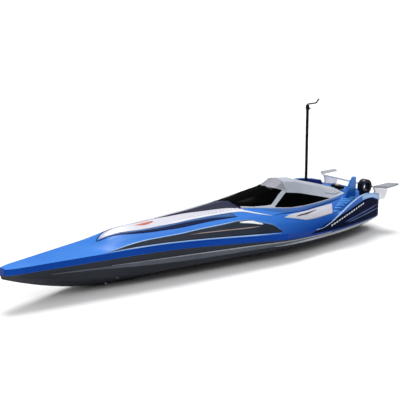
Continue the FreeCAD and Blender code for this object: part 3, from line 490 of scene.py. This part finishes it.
def line(name, path, width, finish, place="above", tree=None, lift=0.14, taper=0.15, **more):
    """A thin stripe of a width in mm along a curve, with pointed ends."""
    centre = curve_of(path)
    first, last = min(path)[0], max(path)[0]

    def edge(sign):
        points = []
        for x in samples(first, last, 4.0):
            along = (x - first) / (last - first)
            narrow = min(1.0, along / taper, (1 - along) / taper)
            half = sign * max(narrow, POINTED) * width / 2
            scale = half_beam(x) if place == "above" else 1.0
            points.append((x, centre(x) + half / scale))
        return points

    return patch(name, edge(-1), edge(1), finish, place=place, tree=tree, lift=lift, across=3,
                 step=2.5, **more)


# ---------------------------------------------------------------- graphics, painted highlights and painted shadow on the deck

# Outlines here are (x, share of the half beam) points; each is mirrored to starboard.
HATCH_FRONT, PANEL_TIP, RIM_SHARE = 177.2, 336.8, 0.965
SILVER_EDGE = [
    (337, 0.0), (333, 0.10), (327, 0.18), (318, 0.25), (308, 0.305), (298, 0.34), (287, 0.348),
    (269, 0.347), (240, 0.34), (211, 0.375), (190, 0.41), (176.5, 0.47),
]
patch("centre_panel", [(x, -share) for x, share in SILVER_EDGE], SILVER_EDGE, "silver",
      span=(HATCH_FRONT, PANEL_TIP), across=25, lift=0.16, both=False)
WEDGE = [
    (271, 0.006), (265, 0.018), (254, 0.05), (242, 0.069), (231, 0.099), (220, 0.142),
    (204, 0.197), (189, 0.26), (176.5, 0.39),
]
patch("ridge_wedge", [(x, -share) for x, share in WEDGE], WEDGE, "ridge_dark",
      span=(HATCH_FRONT, 271), lift=0.24, across=15, both=False)
patch("orange_mark", [(297, 0.084), (286, 0.06), (276, 0.07)],
      [(297, 0.09), (288, 0.165), (276, 0.112)], "orange", lift=0.26)
line("white_line",
     [(275, 0.335), (239, 0.33), (211, 0.366), (182, 0.425), (169, 0.55), (155, 0.677)],
     2.6, "white", lift=0.26)
NAVY_UP = [
    (339, 0.0), (335, 0.11), (328, 0.21), (319, 0.285), (309, 0.365), (289, 0.42), (272, 0.428),
    (254, 0.419), (231, 0.434), (215, 0.465), (191, 0.545),
]
NAVY_LOW = [
    (340, 0.0), (336, 0.13), (329, 0.25), (320, 0.355), (308, 0.45), (292, 0.51), (275, 0.53),
    (258, 0.546), (235, 0.534), (217, 0.53), (191, 0.551),
]
patch("grey_band", [(x, share - 0.01) for x, share in SILVER_EDGE[3:-1]], NAVY_UP[3:],
      "grey_blue", span=(192, 318), lift=0.12)
patch("navy_stripe", NAVY_UP, NAVY_LOW, "navy", lift=0.2)
CHANNEL = [
    (345, 0.955), (325, 0.855), (308, 0.796), (286, 0.762), (264, 0.739), (241, 0.696),
    (217, 0.677), (193, 0.655), (182, 0.675), (174, 0.76), (166, 0.82), (160, 0.87),
    (156.5, 0.955),
]
patch("side_channel", CHANNEL, [(345, RIM_SHARE), (255, RIM_SHARE), (156.5, RIM_SHARE)],
      "channel_dark", lift=0.14, across=11)
# Painted highlight along the side channel's upper lip.
line("channel_lip_highlight", [(x, share - 0.008) for x, share in CHANNEL[:-4]], 0.9, "painted_highlight", lift=0.3)
line("channel_end", [(x, share - 0.015) for x, share in CHANNEL[-5:]], 1.8, "dusty_blue",
     lift=0.36)
# Painted highlight along the rounded rim above the channel.
line("rim_highlight", [(345, 0.972), (300, 0.978), (230, 0.98), (158, 0.98)], 0.9, "painted_highlight", lift=0.3)
line("channel_crease", [(255, 0.802), (232, 0.812), (211, 0.82), (190, 0.828), (175, 0.829)],
     0.8, "tan_line", lift=0.28)
patch("white_patch", [(194, 0.672), (182, 0.69), (172, 0.75)],
      [(194, 0.70), (184, 0.745), (172, 0.81)], "white", lift=0.3)
patch("silver_flash", [(142.6, 0.75), (117, 0.68), (90.5, 0.65), (66, 0.66)],
      [(142.6, 0.755), (120, 0.865), (80, 0.905), (66, 0.665)], "silver", lift=0.3, across=13,
      step=1.5, follow=straight_of)
patch("flash_shadow", [(128, 0.785), (98, 0.722), (94, 0.722)],
      [(128, 0.79), (112, 0.795), (94, 0.728)], "near_black", lift=0.4, follow=straight_of)
patch("sill_band", [(158, 0.50), (140, 0.51), (120, 0.53), (100, 0.535), (75, 0.535), (50, 0.51)],
      [(158, 0.51), (140, 0.60), (120, 0.60), (100, 0.59), (75, 0.575), (50, 0.52)],
      "grey_blue", lift=0.12)
# Painted shadow: a navy line on the deck just below the hatch's sill.
line("sill_shadow_line", [(152, 0.67), (138, 0.66), (117, 0.645), (90, 0.615), (66, 0.59), (42, 0.54)],
     1.5, "navy", lift=0.24)


DASH_SHARE, DASH_LEAN, DASH_LIFT = 0.6, 0.35, 0.3


def dashes(name, path, count, size, finish, place="above"):
    """A row of short slanted marks along a curve, as one mesh."""
    centre = curve_of(path)
    first, last = min(path)[0], max(path)[0]
    pitch = (last - first) / count
    marks = []
    for k in range(count):
        start = first + k * pitch
        rows = []
        for x in samples(start, start + DASH_SHARE * pitch, 1.0):
            row = []
            for rise in (-size / 2, 0.0, size / 2):
                if place == "above":
                    side = centre(x) * half_beam(x) + rise
                    row.append(from_above(DECK, x + DASH_LEAN * rise, side))
                else:
                    row.append(from_port(DECK, x - DASH_LEAN * rise, centre(x) + rise))
            rows.append(row)
        marks.append(slab(rows, DASH_LIFT))
    points, faces = mirrored(*joined(*marks))
    return new_piece(name, points, faces, finish)


dashes("fore_ticks", [(233, 0.27), (217, 0.285), (202, 0.30), (181, 0.345)], 12, 2.0, "white")

# ---------------------------------------------------------------- graphics and painted highlights on the sides

# Outlines here are (x, height) points.
STRIP_STATIONS = samples(112, 439.6, 12)
patch("side_strip", [(x, seam_height(x) + 0.2) for x in STRIP_STATIONS],
      [(x, rim_height(x) - 0.2) for x in STRIP_STATIONS], "strip_blue", place="side",
      span=(150, 439.4), lift=0.1)
patch("quarter_decal", [(120, 19.4), (90.6, 17.6), (56, 16.2), (1, 15.0)],
      [(120, 19.6), (89.5, 26.6), (60, 32.0), (29, 37.6), (14, 36.5), (1, 31.6)],
      "quarter_navy", place="side", lift=0.16, across=11)
patch("quarter_glint", [(34, 38.4), (29, 38.5), (14, 37.4), (1, 32.6)],
      [(x, rim_height(x) - 0.9) for x in samples(1, 34, 3)], "painted_highlight", place="side",
      lift=0.18)
line("quarter_streak", [(66, 21.3), (30, 25), (2, 27.6)], 1.8, "purple", place="side", lift=0.26)
line("quarter_pinstripe", [(60, 19.6), (30, 21.6), (2, 23.4)], 0.8, "dusty_blue", place="side", lift=0.26)
dashes("quarter_ticks", [(90, 21.8), (70, 26.2), (50, 30.6), (31, 34.4)], 14, 1.6, "white", place="side")


def bead(name, path, radius, finish, body="boat", both=True):
    """A round bead along a list of (x, y, z) points, in mm, thinning at its ends."""
    data = bpy.data.curves.new(name, "CURVE")
    data.dimensions = "3D"
    data.bevel_depth = radius * MM
    data.bevel_resolution = 2
    data.use_fill_caps = True
    for side in (1, -1) if both else (1,):
        spline = data.splines.new("POLY")
        spline.points.add(len(path) - 1)
        for i, (x, y, z) in enumerate(path):
            from_end = min(i, len(path) - 1 - i)
            spline.points[i].co = (*to_row(x, side * y, z), 1)
            spline.points[i].radius = min(1.0, (from_end + 1) / 4)
    data.materials.append(MATERIALS[finish])
    piece = bpy.data.objects.new(name, data)
    bpy.context.scene.collection.objects.link(piece)
    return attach(piece, body)


# Painted highlight: a pale bead along the top edge of each raised quarter.
bead("quarter_edge_highlight",
     [(x, half_beam(x) - 0.5, rim_height(x) - 0.35) for x in samples(0.6, 120, 4)],
     0.75, "painted_highlight")

# ---------------------------------------------------------------- louvres on the stern quarters

# Each slat's ends are (x, share of the half beam), moved a step further by each next slat.
LOUVRE_COUNT = 7
LOUVRE_INNER, INNER_STEP = (76.5, 0.87), (-5.7, -0.057)
LOUVRE_OUTER, OUTER_STEP = (69.5, 0.905), (-7.4, -0.032)
SLAT_HALF, BED_MARGIN, BED_STEP = 0.3, 0.4, 0.25  # shares of the pitch
SLAT_INSET, SLAT_ALONG = 0.03, 12
SLAT_HEIGHT, SLAT_LIFT, SLAT_SUNK, BED_LIFT = 1.1, 0.1, 0.4, 0.05


def louvre_spot(count, along):
    """A spot of the louvred slope: count numbers the slats, along runs out from their inner ends."""
    x0, share0 = [start + step * count for start, step in zip(LOUVRE_INNER, INNER_STEP)]
    x1, share1 = [start + step * count for start, step in zip(LOUVRE_OUTER, OUTER_STEP)]
    x = x0 + (x1 - x0) * along
    return from_above(DECK, x, (share0 + (share1 - share0) * along) * half_beam(x))


def louvres():
    """Rounded slats painted lighter as highlight, over a bed painted darker as shade between them,
    between the side deck and the raised quarter.
    """
    bed = [
        [louvre_spot(count, i / SLAT_ALONG) for i in range(SLAT_ALONG + 1)]
        for count in samples(-BED_MARGIN, LOUVRE_COUNT - 1 + BED_MARGIN, BED_STEP)
    ]
    points, faces = mirrored(*slab(bed, BED_LIFT))
    new_piece("louvre_shade_bed", points, faces, "slot_shade_blue")
    slats = []
    for k in range(LOUVRE_COUNT):
        rows = []
        for i in range(SLAT_ALONG + 1):
            along = i / SLAT_ALONG
            height = SLAT_HEIGHT * math.sin(math.pi * along) ** 0.5
            reach = SLAT_INSET + (1 - 2 * SLAT_INSET) * along
            row = []
            for off in (-1.0, -0.5, 0.0, 0.5, 1.0):
                point, normal = louvre_spot(k + SLAT_HALF * off, reach)
                row.append((point + normal * (1 - off ** 2) * height * MM, normal))
            rows.append(row)
        slats.append(slab(rows, SLAT_LIFT, SLAT_SUNK))
    points, faces = mirrored(*joined(*slats))
    return new_piece("quarter_louvres", points, faces, "louvre_highlight_blue")


louvres()

# ---------------------------------------------------------------- hull sides

STRAKE_TOP = [(397, 25), (300, 22.6), (210, 20), (135, 17.4), (100, 16.2), (60, 15.2)]
STRAKE_LOW = [
    (397, 24.4), (359, 22.4), (310, 18.6), (258, 15.8), (224, 15.2), (148, 14.2), (60, 13.4),
]
# The strake is a raised band; its lighter grey is a painted reflection of the floor.
patch("strake_band", STRAKE_LOW, STRAKE_TOP, "strake_reflection_grey", place="side", tree=HULL, lift=0.5,
      across=5)
# Painted highlight along the strake's upper edge.
line("strake_edge_highlight", [(340, 23.8), *STRAKE_TOP[1:]], 0.7, "rail_highlight_grey", place="side", tree=HULL,
     lift=0.7, taper=0.4)
# A real rail under the seam near the stern, painted light grey as a reflection.
patch("stern_rail", [(165, 14.4), (120, 12.6), (60, 11.6), (2, 12.4)],
      [(165, 14.8), (120, 15.0), (60, 14.4), (2, 14.2)], "rail_highlight_grey", place="side", tree=HULL,
      lift=0.7, across=5)

# ---------------------------------------------------------------- propellers


def lathed(profile, segments=48):
    """Points and faces of a closed (radius, height) profile turned round +Z, in mm."""
    points, faces = [], []
    for k in range(segments):
        angle = 2 * math.pi * k / segments
        points += [Vector((r * math.cos(angle), r * math.sin(angle), z)) for r, z in profile]
    size = len(profile)
    for k in range(segments):
        ahead = (k + 1) % segments
        for i in range(size):
            j = (i + 1) % size
            faces.append([k * size + i, ahead * size + i, ahead * size + j, k * size + j])
    return points, faces


def rounded_ring(inner, outer, low, high, radius, steps=4):
    """Profile of a ring with rounded corners."""
    corners = [(outer - radius, low + radius, -90), (outer - radius, high - radius, 0),
               (inner + radius, high - radius, 90), (inner + radius, low + radius, 180)]
    profile = []
    for r, z, start in corners:
        for i in range(steps + 1):
            angle = math.radians(start + 90 * i / steps)
            profile.append((r + radius * math.cos(angle), z + radius * math.sin(angle)))
    return profile


def moved(mesh, turn, at):
    """A mesh in mm turned by a matrix and put at a point of the lines frame, in the row frame."""
    points, faces = mesh
    out = []
    for p in points:
        q = turn @ p
        out.append(to_row(at[0] + q.x, at[1] + q.y, at[2] + q.z))
    return out, faces


PROP_RADIUS, PROP_PITCH, BLADES = 9.0, 26.0, 3
HUB_RADIUS, HUB_HALF, HUB_ROUND, BORE = 3.0, 5.5, 0.7, 1.55
BLADE_ROOT = 0.8 * HUB_RADIUS
CHORD_LEAST, CHORD_SWELL, CHORD_FROM, CHORD_SPAN = 3.0, 4.2, 0.15, 0.72
BLADE_THICK, BLADE_THINNING, BLADE_EDGE, BLADE_SKEW = 0.75, 0.45, 0.08, 0.35
RISE_SHARE, BLADE_RINGS = 0.9, 12
SCREW_X, SCREW_Y, SCREW_Z, SHAFT_RAKE = 6.0, 24.0, 9.6, 5.0


def blade(turn, hand):
    """One skewed propeller blade about +Z; hand is 1 or -1."""
    upper, lower = [], []
    for i in range(BLADE_RINGS):
        reach = i / (BLADE_RINGS - 1)
        r = BLADE_ROOT + (PROP_RADIUS - BLADE_ROOT) * reach
        chord = CHORD_LEAST + CHORD_SWELL * math.sin(math.pi * (CHORD_FROM + CHORD_SPAN * reach))
        thick = BLADE_THICK - BLADE_THINNING * reach
        top, bottom = [], []
        for j in range(-4, 5):
            share = j / 4
            angle = turn + hand * (share * chord / 2 / r + BLADE_SKEW * reach ** 2)
            rise = RISE_SHARE * share * chord / 2 * PROP_PITCH / (2 * math.pi * r)
            half = thick * (1 - share ** 2) / 2 + BLADE_EDGE
            top.append(Vector((r * math.cos(angle), r * math.sin(angle), rise + half)))
            bottom.append(Vector((r * math.cos(angle), r * math.sin(angle), rise - half)))
        upper.append(top)
        lower.append(bottom)
    return sandwich(upper, lower)


SHAFT_TURN = Matrix.Rotation(math.radians(90 - SHAFT_RAKE), 3, "Y")
for side, out in (("port", 1), ("starboard", -1)):
    hub = lathed(rounded_ring(BORE, HUB_RADIUS, -HUB_HALF, HUB_HALF, HUB_ROUND))
    blades = [blade(2 * math.pi * k / BLADES, -out) for k in range(BLADES)]
    points, faces = moved(joined(hub, *blades), SHAFT_TURN, (SCREW_X, out * SCREW_Y, SCREW_Z))
    screw = new_piece(f"screw_{side}", points, faces, "propeller_black", f"screw_{side}")
    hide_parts(f"propeller_{side}")

# ---------------------------------------------------------------- softened edges, antenna

SHARP_ANGLE, WELD_WITHIN = 35, 0.002
SOFT_EDGES = {  # width of the rounding in mm: the nodes that have it
    0.9: ("stern_fin", "stern_ring"),
    0.7: ("battery_cells",),
    0.5: ("rear_wing", "hatch_latch", "antenna_socket"),
    0.4: ("wing_strut_port", "wing_strut_starboard", "antenna_cap", "transom_plug",
          "battery_tray", "switch_body", "charge_socket"),
    0.3: ("battery_strap", "switch_slider"),
}


def soften(node, width):
    """Rounds the edges of a CAD node as shown, leaving its own mesh alone."""
    piece = NODES[node]
    weld = piece.modifiers.new("weld", "WELD")
    weld.merge_threshold = WELD_WITHIN * MM
    bevel = piece.modifiers.new("bevel", "BEVEL")
    bevel.width = width * MM
    bevel.segments = 3
    bevel.limit_method = "ANGLE"
    bevel.angle_limit = math.radians(SHARP_ANGLE)
    bevel.use_clamp_overlap = True


for width, softened in SOFT_EDGES.items():
    for node in softened:
        soften(node, width)

ANTENNA_FULLER = 0.3
for node in ("antenna_tube", "antenna_wire"):
    fuller = NODES[node].modifiers.new("fuller", "DISPLACE")
    fuller.strength = ANTENNA_FULLER * MM
    fuller.mid_level = 0.0

# ---------------------------------------------------------------- canopy trim and painted crease highlight

MESH_EDGE = [(58, 0.36), (44, 0.40), (29, 0.30)]
patch("engine_mesh", [(x, -share) for x, share in MESH_EDGE], MESH_EDGE, "mesh_silver",
      tree=HATCH, body="hatch", across=25, step=1.5, both=False, lift=0.12, follow=straight_of)
# Painted highlight: a pale bead along the roof's crease.
bead("roof_crease_highlight",
     [(ROOF_CREASE_X + 0.2, y, z) for y, z in ((17.2, 54.0), (14.0, 58.5), (10.7, 63.1), (5.0, 64.5))],
     0.45, "crease_highlight", "hatch")

# ---------------------------------------------------------------- stage, lights, camera

FLOOR_HALF, FLOOR_DROP = 40.0, 0.0002  # in metres
HORIZON_AT, SKY_GREYS = 0.45, (0.10, 0.30, 1.0)  # below, at the horizon's stop, overhead


def floor():
    mesh = bpy.data.meshes.new("floor")
    corners = [(x * FLOOR_HALF, y * FLOOR_HALF, 0) for x, y in ((-1, -1), (1, -1), (1, 1), (-1, 1))]
    mesh.from_pydata(corners, [], [[0, 1, 2, 3]])
    mesh.materials.append(material("floor_white", "#fbfbfb", "#f6f6f6", rough=0.8, blotch=2,
                                   relief=0.0, specular=0.0))
    piece = bpy.data.objects.new("floor", mesh)
    bpy.context.scene.collection.objects.link(piece)
    piece.location.z = -FLOOR_DROP


def sky():
    """A grey world, dark below and white overhead."""
    world = bpy.data.worlds.new("studio")
    bpy.context.scene.world = world
    world.use_nodes = True
    graph = Graph(world.node_tree)
    coords = graph.nodes.new("ShaderNodeTexCoord").outputs
    ramp = graph.nodes.new("ShaderNodeValToRGB")
    stops = ramp.color_ramp.elements
    stops.new(HORIZON_AT)
    for stop, grey in zip(stops, SKY_GREYS):
        stop.color = (grey, grey, grey, 1.0)
    graph.feed(ramp.inputs["Fac"], graph.axes(coords["Generated"])[2])
    background = graph.nodes["Background"]
    graph.feed(background.inputs["Color"], ramp.outputs["Color"])
    graph.feed(background.inputs["Strength"], 1.0)


def lamp(name, kind, energy, location, size):
    """A light aimed at the frame's origin; size is metres for an area, radians for a sun."""
    light = bpy.data.lights.new(name, kind)
    light.energy = energy
    if kind == "AREA":
        light.size = size
    else:
        light.angle = size
    holder = bpy.data.objects.new(name, light)
    bpy.context.scene.collection.objects.link(holder)
    holder.location = location
    holder.rotation_euler = (-Vector(location)).to_track_quat("-Z", "Y").to_euler()


EYE, AIM = Vector((0.7708, 0.8775, 0.3537)), Vector((0.0107, 0.0029, 0.0598))
LENS, SENSOR, CLIP_NEAR, CLIP_FAR = 111.3, 36.0, 0.01, 50.0


def camera():
    """The photograph's view of the boat."""
    data = bpy.data.cameras.new("photo_camera")
    data.lens, data.sensor_width = LENS, SENSOR
    data.clip_start, data.clip_end = CLIP_NEAR, CLIP_FAR
    holder = bpy.data.objects.new("photo_camera", data)
    bpy.context.scene.collection.objects.link(holder)
    holder.location = EYE
    holder.rotation_euler = (AIM - EYE).to_track_quat("-Z", "Y").to_euler()
    bpy.context.scene.camera = holder


floor()
sky()
lamp("overhead", "SUN", 2.4, (-0.7, -1.0, 1.95), size=math.radians(26))
lamp("softbox", "AREA", 5.0, (0.9, 0.9, 1.5), size=1.0)
camera()
bpy.context.scene.view_settings.view_transform = "Standard"
